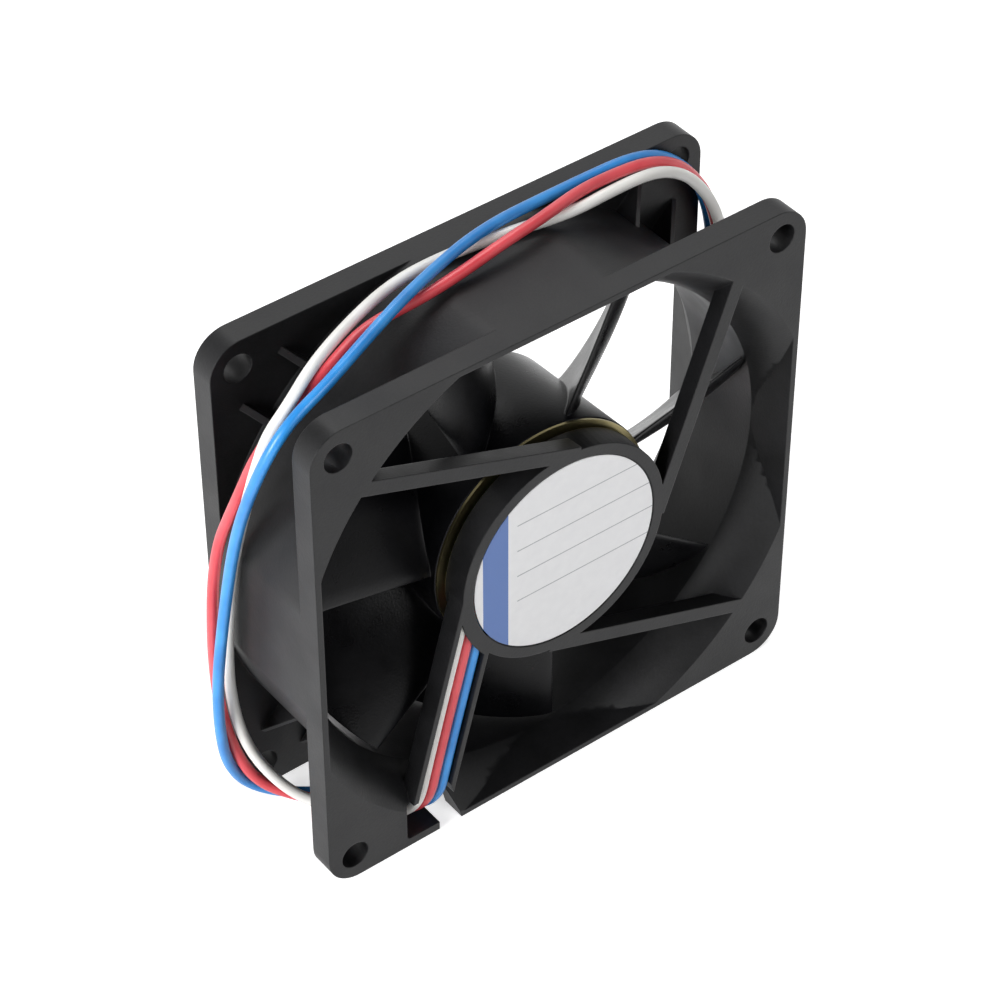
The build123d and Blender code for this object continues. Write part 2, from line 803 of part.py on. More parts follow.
blue_route = [
    channel_lead(8.9, 4.9, board_lead_y),
    channel_lead(10.9, 8.3, board_lead_y - 0.1),
    channel_lead(row[2] + 0.05, 12.0, lead_y),
    channel_lead(row[2] - 0.02, 17.0, lead_y),
    channel_lead(row[2], 26.0, lead_y),
    channel_lead(row[2] - 0.1, 33.8, lead_y),
    (-20.6, lead_y, -34.1),
    (-21.9, -9.7, -37.0),
    (-24.2, -5.8, -38.6),
    (-28.8, 0.9, -39.15),
    (-35.0, 5.3, -39.15),
    (-39.8, 7.6, -36.0),
    (-42.6, 7.6, -30.2),
    (-43.8, 6.8, -22.4),
    (-44.1, 6.0, -13.4),
    (-43.9, 4.6, -4.2),
    (-43.5, 2.9, 5.6),
    (-43.4, 1.1, 13.4),
    (-43.2, -0.9, 20.4),
    (-42.9, -3.2, 26.6),
    (-42.0, -5.2, 32.4),
    (-39.7, -5.7, 36.2),
    (-36.4, -5.4, 38.4),
    (-31.9, -4.9, 40.1),
    (-26.6, -3.6, 41.8),
    (-21.0, -1.6, 42.6),
    (-15.5, 0.6, 42.8),
    (-9.0, 3.0, 42.7),
    (-2.9, 4.9, 42.65),
    (3.6, 6.3, 42.3),
    (11.2, 7.4, 41.4),
    (19.0, 7.9, 41.0),
    (26.0, 7.9, 40.9),
    (31.4, 8.0, 39.4),
    (36.0, 8.0, 35.6),
    (39.6, 8.0, 30.2),
    (41.9, 8.2, 22.6),
    (42.7, 8.0, 10.0),
    (42.7, 7.9, -7.0),
    (43.2, 8.6, -19.0),
    (45.0, 10.8, -28.6),
    (46.6, 15.8, -36.2),
    (45.4, 23.4, -39.1),
    (39.6, 29.6, -39.15),
    (30.6, 33.2, -39.15),
    (20.6, 35.0, -39.15),
    (11.0, 36.4, -39.15),
]


def corner_radii(points):
    """Radius of the arc at each corner, as large as its two runs allow."""
    radii = []
    for before, here, after in zip(points, points[1:], points[2:]):
        to_here = Vector(here) - Vector(before)
        onwards = Vector(after) - Vector(here)
        shorter = min(to_here.length, onwards.length)
        radii.append(0.45 * shorter / tan(radians(to_here.get_angle(onwards)) / 2))
    return radii


for name, route in (("lead_white", white_route), ("lead_red", red_route), ("lead_blue", blue_route)):
    radii = corner_radii(route)
    with BuildPart() as lead:
        with BuildLine():
            lead_path = FilletPolyline(*route, radius=radii)
        with BuildSketch(Plane(origin=lead_path @ 0, z_dir=lead_path % 0)):
            Circle(lead_d / 2)
        sweep()
    section = pi * lead_d ** 2 / 4
    ratio = lead.part.volume / (section * lead_path.length)
    print(name, "length", round(lead_path.length, 1), "volume / section x length", round(ratio, 4))
    print("  corner radii", [round(r, 1) for r in radii])
    export(lead, name)
    with BuildPart() as tip:
        with BuildSketch(Plane(origin=lead_path @ 1, z_dir=lead_path % 1)):
            Circle(core_d / 2)
        extrude(amount=tip_length)
    export(tip, name + "_tip")
    # soldered joint at the lead's inner end
    start = lead_path @ 0
    inward = -(lead_path % 0)
    with BuildPart() as joint:
        with BuildSketch(Plane(origin=start, z_dir=inward)):
            Circle(joint_d / 2)
        extrude(amount=joint_length)
    export(joint, name.replace("lead", "solder"))
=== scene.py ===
# %% [markdown]
# An axial cooling fan, 80 mm square and 25.4 mm deep. The real one is a handful of
# mouldings round a small motor: a square housing with struts and a fixed hub, a
# seven-bladed impeller, a paper-thin label and three thin leads. The shapes that carry
# the light here are made again as smooth surfaces, and the hidden motor keeps its plain
# solids with better finishes.

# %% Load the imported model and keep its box
import json
import bmesh
import bpy
import numpy as np
from mathutils import Matrix, Vector


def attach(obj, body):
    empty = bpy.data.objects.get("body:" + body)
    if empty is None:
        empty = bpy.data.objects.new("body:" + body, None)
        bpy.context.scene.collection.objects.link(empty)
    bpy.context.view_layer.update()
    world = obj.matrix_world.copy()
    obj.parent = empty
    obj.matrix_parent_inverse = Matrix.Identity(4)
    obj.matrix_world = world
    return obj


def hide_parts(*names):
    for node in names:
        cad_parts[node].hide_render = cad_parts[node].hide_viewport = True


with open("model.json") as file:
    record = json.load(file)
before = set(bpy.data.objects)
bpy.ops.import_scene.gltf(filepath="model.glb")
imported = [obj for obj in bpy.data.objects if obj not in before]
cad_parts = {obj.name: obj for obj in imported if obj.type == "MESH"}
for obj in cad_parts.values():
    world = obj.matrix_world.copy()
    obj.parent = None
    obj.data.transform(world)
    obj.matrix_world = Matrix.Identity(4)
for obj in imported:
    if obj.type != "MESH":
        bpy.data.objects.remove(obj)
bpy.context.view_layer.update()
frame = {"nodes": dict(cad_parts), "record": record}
nodes = frame["nodes"]
MM = 0.001

# %% [markdown]
# The camera comes first, because everything else is judged through it. The photo was
# taken with a long lens from the left, well above the fan. The numbers below come from
# fitting the four screw holes and the long edges of the housing to the picture.

# %% Camera at the photo's viewing angle
CAMERA_AZIMUTH = np.radians(-37.4832)
CAMERA_ELEVATION = np.radians(41.9713)
CAMERA_ROLL = np.radians(-0.1075)
CAMERA_DISTANCE = 468.47 * MM
CAMERA_SLIDE = (-0.9399 * MM, 0.1911 * MM)
SENSOR_WIDTH = 36.0
FOCAL_PIXELS, PHOTO_PIXELS = 3457.964, 1000
LENS = FOCAL_PIXELS / PHOTO_PIXELS * SENSOR_WIDTH
NEAREST, FURTHEST = 0.01, 50.0


def photo_camera():
    """Camera that looks back along the line of sight given by azimuth and elevation."""
    sin_a, cos_a = np.sin(CAMERA_AZIMUTH), np.cos(CAMERA_AZIMUTH)
    sin_e, cos_e = np.sin(CAMERA_ELEVATION), np.cos(CAMERA_ELEVATION)
    back = Vector((sin_a * cos_e, -cos_a * cos_e, sin_e))
    level = (-back).cross(Vector((0, 0, 1))).normalized()
    above = level.cross(-back)
    right = level * np.cos(CAMERA_ROLL) + above * np.sin(CAMERA_ROLL)
    up = above * np.cos(CAMERA_ROLL) - level * np.sin(CAMERA_ROLL)
    place = back * CAMERA_DISTANCE + right * CAMERA_SLIDE[0] + up * CAMERA_SLIDE[1]
    data = bpy.data.cameras.new("photo_camera")
    data.lens, data.sensor_width = LENS, SENSOR_WIDTH
    data.clip_start, data.clip_end = NEAREST, FURTHEST
    camera = bpy.data.objects.new("photo_camera", data)
    turned = Matrix((right, up, back)).transposed()
    camera.matrix_world = Matrix.Translation(place) @ turned.to_4x4()
    bpy.context.scene.collection.objects.link(camera)
    bpy.context.scene.camera = camera
    return camera


camera = photo_camera()
print("camera at", [round(v / MM, 1) for v in camera.location], "mm, lens", round(LENS, 1))

# %% [markdown]
# Materials are node trees. Two helpers are enough: one turns a colour as it is written
# in a paint chart, sRGB hex, into the linear values that light is added up in, and one
# adds a node with its settings and its links.


# %% Colour and node helpers
def linear(hex_colour):
    """sRGB hex to linear: the part over 0.04045 follows ((c + 0.055) / 1.055) ** 2.4."""
    values = np.array([int(hex_colour[i : i + 2], 16) / 255 for i in (1, 3, 5)])
    low, high = values / 12.92, ((values + 0.055) / 1.055) ** 2.4
    return (*np.where(values <= 0.04045, low, high), 1.0)


def node(tree, kind, settings=None, inputs=None):
    """Adds a node, sets its properties and fills its sockets with values or links."""
    made = tree.nodes.new("ShaderNode" + kind)
    for name, value in (settings or {}).items():
        setattr(made, name, value)
    for name, value in (inputs or {}).items():
        socket = made.inputs[name]
        if isinstance(value, bpy.types.NodeSocket):
            tree.links.new(value, socket)
        else:
            socket.default_value = value
    return made


def new_material(name, **constants):
    """Material with a Principled shader; constants go on the shader's own sockets."""
    material = bpy.data.materials.new(name)
    material.use_nodes = True
    tree = material.node_tree
    shader = tree.nodes["Principled BSDF"]
    for socket, value in constants.items():
        shader.inputs[socket.replace("_", " ")].default_value = value
    return material, tree, shader


# %% [markdown]
# The housing and the impeller are glass-filled polyester, moulded in steel tools that
# are spark-eroded to a fine matt grain. To the eye that is a charcoal with a broad weak
# sheen, faint flow clouds a few millimetres wide, and short pale fibres near the
# surface. The grain's pits also swallow a part of what a smooth skin would reflect, so the
# specular level is below its usual 0.5. Real edges carry a radius of about 0.2 mm, which
# draws a thin light line.


# %% Moulded polyester
CLOUD_MM, FIBRE_MM, GRAIN_DEPTH_MM = 7, 0.5, 0.06


def moulded_polyester(name, hex_dark, hex_light, roughness, specular, grain_mm, edge_mm):
    """Charcoal polyester: clouds in the colour, spark-eroded grain and rounded edges.

    Noise scale is 1 / size in metres, so a 0.35 mm grain is a scale of about 2900.
    """
    material, tree, shader = new_material(name, IOR=1.5, Specular_IOR_Level=specular)
    place = node(tree, "TexCoord").outputs["Object"]
    clouds = node(
        tree, "TexNoise", inputs={"Vector": place, "Scale": 1 / (CLOUD_MM * MM), "Detail": 3.0}
    )
    fibres = node(
        tree, "TexNoise", inputs={"Vector": place, "Scale": 1 / (FIBRE_MM * MM), "Detail": 2.0}
    )
    blend = node(
        tree, "Mix", {"data_type": "FLOAT"},
        {"Factor": 0.35, "A": clouds.outputs["Fac"], "B": fibres.outputs["Fac"]},
    )
    colour = node(tree, "ValToRGB", inputs={"Fac": blend.outputs[0]})
    colour.color_ramp.elements[0].position, colour.color_ramp.elements[1].position = 0.35, 0.68
    colour.color_ramp.elements[0].color = linear(hex_dark)
    colour.color_ramp.elements[1].color = linear(hex_light)
    tree.links.new(colour.outputs["Color"], shader.inputs["Base Color"])
    rough = node(
        tree, "MapRange", inputs={
            "Value": clouds.outputs["Fac"], "From Min": 0.3, "From Max": 0.7,
            "To Min": roughness - 0.05, "To Max": roughness + 0.07,
        },
    )
    tree.links.new(rough.outputs[0], shader.inputs["Roughness"])
    grain = node(
        tree, "TexNoise", inputs={"Vector": place, "Scale": 1 / (grain_mm * MM), "Detail": 3.0}
    )
    rounded = node(tree, "Bevel", {"samples": 4}, {"Radius": edge_mm * MM})
    bump = node(
        tree, "Bump", inputs={
            "Strength": 0.35, "Distance": GRAIN_DEPTH_MM * MM,
            "Height": grain.outputs["Fac"], "Normal": rounded.outputs[0],
        },
    )
    tree.links.new(bump.outputs[0], shader.inputs["Normal"])
    return material


housing_polyester = moulded_polyester(
    "moulded_polyester_housing", "#111112", "#1B1B1D", 0.44, 0.3, 0.35, 0.25
)
impeller_polyester = moulded_polyester(
    "moulded_polyester_impeller", "#08080A", "#101013", 0.3, 0.2, 0.3, 0.2
)
print("polyester materials", housing_polyester.name, impeller_polyester.name)

# %% [markdown]
# The leads are stranded copper in soft PVC, 1.6 mm across. The extruder leaves a smooth,
# slightly waxy skin with a faint draw line along the lead and a dusting of talc.


# %% Extruded insulation
def extruded_pvc(name, hex_dark, hex_light, roughness):
    """Soft PVC: the colour drifts slowly along the lead, with a fine lengthwise draw."""
    material, tree, shader = new_material(name, IOR=1.53, Coat_Weight=0.15, Coat_Roughness=0.25)
    place = node(tree, "TexCoord").outputs["Object"]
    drift = node(tree, "TexNoise", inputs={"Vector": place, "Scale": 1 / (5 * MM), "Detail": 2.0})
    colour = node(tree, "ValToRGB", inputs={"Fac": drift.outputs["Fac"]})
    colour.color_ramp.elements[0].position, colour.color_ramp.elements[1].position = 0.3, 0.7
    colour.color_ramp.elements[0].color = linear(hex_dark)
    colour.color_ramp.elements[1].color = linear(hex_light)
    tree.links.new(colour.outputs["Color"], shader.inputs["Base Color"])
    talc = node(tree, "TexNoise", inputs={"Vector": place, "Scale": 1 / (0.4 * MM), "Detail": 3.0})
    rough = node(
        tree, "MapRange", inputs={
            "Value": talc.outputs["Fac"],
            "To Min": roughness - 0.08, "To Max": roughness + 0.12,
        },
    )
    tree.links.new(rough.outputs[0], shader.inputs["Roughness"])
    bump = node(
        tree, "Bump",
        inputs={"Strength": 0.25, "Distance": 0.03 * MM, "Height": talc.outputs["Fac"]},
    )
    tree.links.new(bump.outputs[0], shader.inputs["Normal"])
    return material


lead_materials = {
    "white": extruded_pvc("extruded_pvc_white", "#F0EEE9", "#FAF9F6", 0.38),
    "red": extruded_pvc("extruded_pvc_red", "#D8404A", "#E8525B", 0.34),
    "blue": extruded_pvc("extruded_pvc_blue", "#1F80CE", "#3598E4", 0.34),
}
print("lead materials", sorted(lead_materials))


# %% [markdown]
# The metals and the small parts of the motor sit behind the hub and in the cup of the
# impeller. They show only in glimpses, so each gets the one thing that tells it apart:
# turning marks, stacked sheets, wound wire or ground steel.


# %% Metals and motor parts
def worked_metal(name, hex_colour, roughness, stripe_mm, axis, depth_mm):
    """Metal with tool marks: bands across one axis, each stripe_mm wide, wander a little."""
    material, tree, shader = new_material(name, Metallic=1.0, Base_Color=linear(hex_colour))
    place = node(tree, "TexCoord").outputs["Object"]
    bands = node(
        tree, "TexWave", {"wave_type": "BANDS", "bands_direction": axis},
        {"Vector": place, "Scale": 1 / (stripe_mm * MM) / 20, "Distortion": 1.5, "Detail": 2.0},
    )
    rough = node(
        tree, "MapRange", inputs={
            "Value": bands.outputs["Fac"],
            "To Min": roughness - 0.06, "To Max": roughness + 0.1,
        },
    )
    tree.links.new(rough.outputs[0], shader.inputs["Roughness"])
    bump = node(
        tree, "Bump",
        inputs={"Strength": 0.3, "Distance": depth_mm * MM, "Height": bands.outputs["Fac"]},
    )
    tree.links.new(bump.outputs[0], shader.inputs["Normal"])
    return material


def moulded_small_part(name, hex_dark, hex_light, roughness, grain_mm):
    """Resin or nylon part: two close colours in clouds and a fine moulded grain."""
    material, tree, shader = new_material(name, IOR=1.52)
    place = node(tree, "TexCoord").outputs["Object"]
    clouds = node(tree, "TexNoise", inputs={"Vector": place, "Scale": 1 / (3 * MM), "Detail": 3.0})
    colour = node(tree, "ValToRGB", inputs={"Fac": clouds.outputs["Fac"]})
    colour.color_ramp.elements[0].position, colour.color_ramp.elements[1].position = 0.3, 0.7
    colour.color_ramp.elements[0].color = linear(hex_dark)
    colour.color_ramp.elements[1].color = linear(hex_light)
    tree.links.new(colour.outputs["Color"], shader.inputs["Base Color"])
    grain = node(
        tree, "TexNoise", inputs={"Vector": place, "Scale": 1 / (grain_mm * MM), "Detail": 3.0}
    )
    rough = node(
        tree, "MapRange", inputs={
            "Value": grain.outputs["Fac"],
            "To Min": roughness - 0.05, "To Max": roughness + 0.1,
        },
    )
    tree.links.new(rough.outputs[0], shader.inputs["Roughness"])
    bump = node(
        tree, "Bump",
        inputs={"Strength": 0.3, "Distance": 0.03 * MM, "Height": grain.outputs["Fac"]},
    )
    tree.links.new(bump.outputs[0], shader.inputs["Normal"])
    return material


finishes = {
    "lamination_steel": worked_metal("stacked_electrical_steel", "#8E8F93", 0.45, 0.5, "Y", 0.05),
    "winding_copper": worked_metal("wound_enamelled_copper", "#B5642F", 0.3, 0.35, "Y", 0.12),
    "bearing_steel": worked_metal("ground_bearing_steel", "#CFCFD2", 0.18, 0.1, "Y", 0.004),
    "shaft_steel": worked_metal("ground_stainless_rod", "#C2C2C4", 0.25, 0.08, "Y", 0.004),
    "spring_steel": worked_metal("drawn_spring_wire", "#A9A9AC", 0.35, 0.1, "X", 0.01),
    "bush_brass": worked_metal("turned_brass", "#C9A04A", 0.28, 0.12, "Y", 0.01),
    "yoke_steel": worked_metal("zinc_plated_drawn_steel", "#A79C72", 0.38, 0.6, "Y", 0.02),
    "tinned_copper": worked_metal("tinned_copper_strand", "#C6C4C0", 0.32, 0.2, "X", 0.01),
    "board_resin": moulded_small_part(
        "solder_resist_on_glass_epoxy", "#0E3A1E", "#155229", 0.35, 0.25
    ),
    "chip_resin": moulded_small_part("moulded_epoxy_package", "#141415", "#1E1E20", 0.45, 0.2),
    "insulator_nylon": moulded_small_part("moulded_natural_nylon", "#CFC6A6", "#DED6B8", 0.4, 0.3),
    "magnet_ferrite": moulded_small_part("bonded_ferrite", "#1B1919", "#262323", 0.55, 0.2),
}
print("small finishes", len(finishes))


# %% [markdown]
# A surface is a function of two parameters. Sampled on a grid it becomes an array of
# points with one row for each first parameter and one column for each second, and faces
# join each point with its next ones. One helper turns such an array into a mesh.


# %% From an array of points to a mesh
def grid_faces(rows, columns, close_rows, close_columns):
    """Quads (i, j), (i, j+1), (i+1, j+1), (i+1, j); a closed side wraps to its start."""
    i = np.arange(rows if close_rows else rows - 1)[:, None]
    j = np.arange(columns if close_columns else columns - 1)[None, :]
    i_next, j_next = (i + 1) % rows, (j + 1) % columns
    row, row_next = i * columns, i_next * columns
    corners = (row + j, row + j_next, row_next + j_next, row_next + j)
    return np.stack([c + 0 * (i + j) for c in corners], -1).reshape(-1, 4)


def surface(name, points, faces, material, body, replaced=(), smooth_angle=35.0):
    """Mesh object from points in millimetres and quads, riding on a body of the frame."""
    mesh = bpy.data.meshes.new(name)
    points = np.asarray(points, float).reshape(-1, 3) * MM
    mesh.vertices.add(len(points))
    mesh.vertices.foreach_set("co", points.ravel())
    faces = np.asarray(faces)
    mesh.loops.add(faces.size)
    mesh.loops.foreach_set("vertex_index", faces.ravel())
    mesh.polygons.add(len(faces))
    mesh.polygons.foreach_set("loop_start", np.arange(len(faces)) * faces.shape[1])
    mesh.update(calc_edges=True)
    mesh.validate()
    mesh.polygons.foreach_set("use_smooth", np.ones(len(mesh.polygons), bool))
    mesh.set_sharp_from_angle(angle=np.radians(smooth_angle))
    mesh.materials.append(material)
    piece = bpy.data.objects.new(name, mesh)
    bpy.context.scene.collection.objects.link(piece)
    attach(piece, body)
    if replaced:
        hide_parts(*replaced)
    return piece


# %% [markdown]
# The leads. Each is one smooth curve through the air: out of the board in the hub, along
# the open channel, through the window of the flange, round the housing between its
# flanges, and down to the surface behind. A NURBS spline with the same control points as
# the solid leads bends the way a real lead does, with no straight runs or kinks.

# %% Routes of the leads, in millimetres
LEAD_DIAMETER = 1.6
ROUTES = {
    "white": [
        (-12.27, -10.23, 2.87), (-14.54, -10.33, -0.56), (-16.27, -11.53, -3.72),
        (-17.49, -11.53, -8.36), (-20.2, -11.53, -18.4), (-22.69, -11.53, -28.08),
        (-24.1, -11.53, -33.7), (-25.2, -9.7, -36.5), (-27.6, -7, -37.8), (-31, -3.4, -38),
        (-35.2, 0.9, -36.4), (-38.2, 4.2, -32.2), (-40.2, 6.6, -26.6), (-41.1, 7.6, -19),
        (-41.3, 7.5, -11), (-41.2, 6.6, -2.4), (-41.1, 5.3, 6.4), (-41, 3.1, 14.2),
        (-41, 0.6, 21.6),
        (-40.8, -1.8, 29), (-39.7, -3.1, 34.8), (-36.6, -3.4, 38.2), (-31, -1, 40.6),
        (-22.6, 2.5, 41.2), (-14, 5.6, 40.95), (-5.5, 6.1, 40.88), (4, 5, 40.88), (13.1, 3.3, 40.9),
        (21, 3.5, 41.2), (27.2, 3.6, 40.9), (32, 3.9, 38.5), (35.8, 4.4, 34.6), (39, 4.4, 29.4),
        (41, 4.2, 22), (41.6, 4, 8), (41.5, 3.7, -10), (41.8, 4, -24), (42.8, 5.6, -33),
        (42.4, 10, -38.3), (39.5, 16.5, -39.15), (33, 21.5, -39.15), (24, 24.2, -39.15),
        (14, 24, -39.15), (6, 22.4, -39.15),
    ],
    "red": [
        (-11.31, -10.23, -0.49), (-13.59, -10.33, -2.99), (-15.2, -11.53, -6.49),
        (-16.47, -11.53, -11.32), (-19.03, -11.53, -20.78), (-21.1, -11.53, -28.92),
        (-22.3, -11.53, -33.9), (-23.6, -9.7, -36.8), (-26, -6.6, -38.4), (-29.8, -1.7, -39.1),
        (-34.2, 2.7, -38.2), (-38.8, 5.8, -35.2), (-41.2, 7.6, -29), (-42.4, 8.7, -20),
        (-43, 8.3, -11.6), (-43.3, 7.4, -3), (-42.9, 7, 5), (-42, 6.4, 11.4), (-41.3, 4.5, 16.8),
        (-40.8, 2.1, 22.6), (-39.5, -0.1, 29.4), (-36.4, -2.2, 35.5), (-32.2, -2.4, 38.5),
        (-28, -1.6, 40.2), (-21.8, 0.6, 40.95), (-13, 0.9, 40.9), (-6, 1.3, 41.6), (0.6, 1.9, 42.5),
        (8, 2.9, 42.7), (15.5, 4.8, 42.4), (22.5, 5.9, 41.4), (28.2, 6, 40.7), (33.2, 6.2, 38.2),
        (37, 6.3, 34), (40, 6.3, 28.6), (41.8, 6.1, 21), (42.3, 5.9, 8), (42.2, 5.7, -9),
        (42.6, 6.2, -22), (44, 8, -31.5), (44.6, 12.6, -37.6), (42.4, 19.6, -39.15),
        (36, 25.6, -39.15),
        (27, 28.6, -39.15), (17, 29.6, -39.15), (8, 29.8, -39.15),
    ],
    "blue": [
        (-9.86, -10.23, -2.43), (-12.68, -10.33, -5.2), (-14.02, -11.53, -8.67),
        (-15.25, -11.53, -13.51), (-17.6, -11.53, -22.2), (-19.52, -11.53, -29.76),
        (-20.6, -11.53, -34.1), (-21.9, -9.7, -37), (-24.2, -5.8, -38.6), (-28.8, 0.9, -39.15),
        (-35, 5.3, -39.15), (-39.8, 7.6, -36), (-42.6, 7.6, -30.2), (-43.8, 6.8, -22.4),
        (-44.1, 6, -13.4), (-43.9, 4.6, -4.2), (-43.5, 2.9, 5.6), (-43.4, 1.1, 13.4),
        (-43.2, -0.9, 20.4), (-42.9, -3.2, 26.6), (-42, -5.2, 32.4), (-39.7, -5.7, 36.2),
        (-36.4, -5.4, 38.4), (-31.9, -4.9, 40.1), (-26.6, -3.6, 41.8), (-21, -1.6, 42.6),
        (-15.5, 0.6, 42.8), (-9, 3, 42.7), (-2.9, 4.9, 42.65), (3.6, 6.3, 42.3), (11.2, 7.4, 41.4),
        (19, 7.9, 41), (26, 7.9, 40.9), (31.4, 8, 39.4), (36, 8, 35.6), (39.6, 8, 30.2),
        (41.9, 8.2, 22.6), (42.7, 8, 10), (42.7, 7.9, -7), (43.2, 8.6, -19), (45, 10.8, -28.6),
        (46.6, 15.8, -36.2), (45.4, 23.4, -39.1), (39.6, 29.6, -39.15), (30.6, 33.2, -39.15),
        (20.6, 35, -39.15), (11, 36.4, -39.15),
    ],
}
print({colour: len(route) for colour, route in ROUTES.items()}, "control points")

# %% [markdown]
# Each lead ends in 5 mm of bare wire, where the maker stripped it: seven tinned strands,
# six of them laid round the seventh. A strand is a small circle carried along its own
# helix, which is a job for one array of points.

# %% A round section carried along a path
def unit(vectors):
    """Each vector divided by its own length."""
    return vectors / np.linalg.norm(vectors, axis=-1, keepdims=True)


def tube_points(path, radius, sides):
    """Rings round a path: centre + radius * (cos u * side + sin u * above).

    The side is square to the path and to a fixed direction that no path here follows.
    """
    along = unit(np.gradient(path, axis=0))
    side = unit(np.cross(along, np.array([0.2, 1.0, 0.1])))
    above = np.cross(along, side)
    u = np.linspace(0, 2 * np.pi, sides, endpoint=False)[None, :, None]
    return path[:, None] + radius * (np.cos(u) * side[:, None] + np.sin(u) * above[:, None])


def closed_tube(path, radius, sides):
    """Tube points and quads; each end closes on its own middle, so no hole is left."""
    rings = tube_points(path, radius, sides)
    first, last = rings[:1].mean(1, keepdims=True), rings[-1:].mean(1, keepdims=True)
    first, last = np.repeat(first, sides, 1), np.repeat(last, sides, 1)
    points = np.concatenate([first, rings, last])
    return points, grid_faces(len(points), sides, False, True)


def joined(shapes):
    """Several (points, quads) as one, with each shape's numbers moved past the last."""
    starts = np.cumsum([0] + [len(p.reshape(-1, 3)) for p, _ in shapes[:-1]])
    points = np.concatenate([p.reshape(-1, 3) for p, _ in shapes])
    return points, np.concatenate([f + start for (_, f), start in zip(shapes, starts)])


# %% Leads and their bare ends
TIP_LENGTH, STRAND_RADIUS, LAY_LENGTH = 5.0, 0.15, 7.0
LAY_RADIUS = 1.98 * STRAND_RADIUS


def stranded_tip(name, start, direction):
    """Seven strands: one straight, six on helices a hair under two radii away, to touch it."""
    along = unit(np.asarray(direction, float))
    side = unit(np.cross(along, [0.0, 0.0, 1.0]))
    above = np.cross(along, side)
    t = np.linspace(0, TIP_LENGTH, 24)[:, None]
    strands = [closed_tube(start + t * along, STRAND_RADIUS, 8)]
    for k in range(6):
        turn = 2 * np.pi * (t / LAY_LENGTH + k / 6)
        offset = LAY_RADIUS * (np.cos(turn) * side + np.sin(turn) * above)
        strands.append(closed_tube(start + t * along + offset, STRAND_RADIUS, 8))
    points, faces = joined(strands)
    return surface(
        name, points, faces, finishes["tinned_copper"], "housing",
        [name.replace("bare_end", "lead") + "_tip"],
    )


def lead(colour):
    """NURBS curve through the route, thick as the insulation, with its bare end."""
    route = np.array(ROUTES[colour])
    data = bpy.data.curves.new("lead_" + colour + "_insulation", "CURVE")
    data.dimensions, data.resolution_u = "3D", 8
    data.bevel_depth, data.bevel_resolution = LEAD_DIAMETER / 2 * MM, 5
    data.use_fill_caps = True
    spline = data.splines.new("NURBS")
    spline.points.add(len(route) - 1)
    weighted = np.c_[route * MM, np.ones(len(route))]
    spline.points.foreach_set("co", weighted.ravel())
    spline.order_u, spline.use_endpoint_u = 3, True
    data.materials.append(lead_materials[colour])
    piece = bpy.data.objects.new("lead_" + colour + "_insulation", data)
    bpy.context.scene.collection.objects.link(piece)
    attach(piece, "housing")
    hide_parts("lead_" + colour)
    tip = stranded_tip("bare_end_" + colour, route[-1], route[-1] - route[-2])
    return piece


leads = [lead(colour) for colour in ROUTES]
print("leads", [piece.name for piece in leads])

# %% [markdown]
# The impeller carries the fan's skill. Each blade is one surface: from the hub to the tip
# its middle turns back against the rotation, and across its width it climbs from the
# outlet side to the intake side along a shallow arc. Both faces are the same surface
# pushed half a wall apart, and the wall thins to a rounded edge.

# %% Blade surface
HUB_FRONT_R, HUB_BACK_R, ROOT_R, TIP_R = 17.8, 17.1, 16.7, 37.4
BLADE_FRONT_Y, BLADE_BACK_Y, BLADE_BOW = -6.45, 8.54, -1.33
CHORD_ROOT, CHORD_TIP = 47.0, 26.5
SWEEP, SWEEP_POWER = 5.6, 1.58
WALL, EDGE_WALL, ROOT_FILLET, FILLET_POWER = 1.5, 0.7, 0.5, 0.3
FIRST_BLADE, BLADE_COUNT = 39.6, 7
ROOT_ZONE_R, ROOT_ROWS, BLADE_ROWS, STATIONS = 19.0, 12, 28, 25


def blade_points(radii, stations):
    """Rings round the blade's section, one for each radius, as rolled-up cylinders.

    s goes from the outlet edge to the intake edge on one face and back on the other.
    Angle = chord * (s - 1/2) - sweep * span ** power and
    height = front + s * rise + bow * 4 s (1 - s), both moved half a wall square to the
    slope. x = r sin(angle), z = r cos(angle). The wall is the edge's, closed by a round
    edge, plus sin(pi s) times the rest. It grows by exp(-(r - hub) / fillet) towards the
    hub, which rounds the corner there.
    """
    s = (1 - np.cos(np.linspace(0, np.pi, stations))) / 2
    s = np.concatenate([s, s[-2:0:-1]])[None, :]
    side = np.concatenate([-np.ones(stations), np.ones(stations - 2)])[None, :]
    r = np.asarray(radii, float)[:, None]
    span = np.maximum(r - HUB_FRONT_R, 0) / (TIP_R - HUB_FRONT_R)
    chord = np.radians(CHORD_ROOT + (CHORD_TIP - CHORD_ROOT) * span)
    rise = BLADE_BACK_Y - BLADE_FRONT_Y
    slope = rise + BLADE_BOW * 4 * (1 - 2 * s)
    run = r * chord
    arch = np.sin(np.pi * s)
    wall = EDGE_WALL * np.sqrt(np.clip(16 * s * (1 - s), 0, 1)) + (WALL - EDGE_WALL) * arch
    growth = np.exp(-np.maximum(r - HUB_BACK_R, 0) / ROOT_FILLET)
    wall = wall + 2 * ROOT_FILLET * growth * arch**FILLET_POWER
    half = side * wall / 2
    length = np.hypot(run, slope)
    angle = chord * (s - 0.5) - np.radians(SWEEP) * span**SWEEP_POWER - half * slope / length / r
    height = BLADE_FRONT_Y + s * rise + BLADE_BOW * 4 * s * (1 - s) + half * run / length
    return np.stack([r * np.sin(angle), height, r * np.cos(angle)], -1)


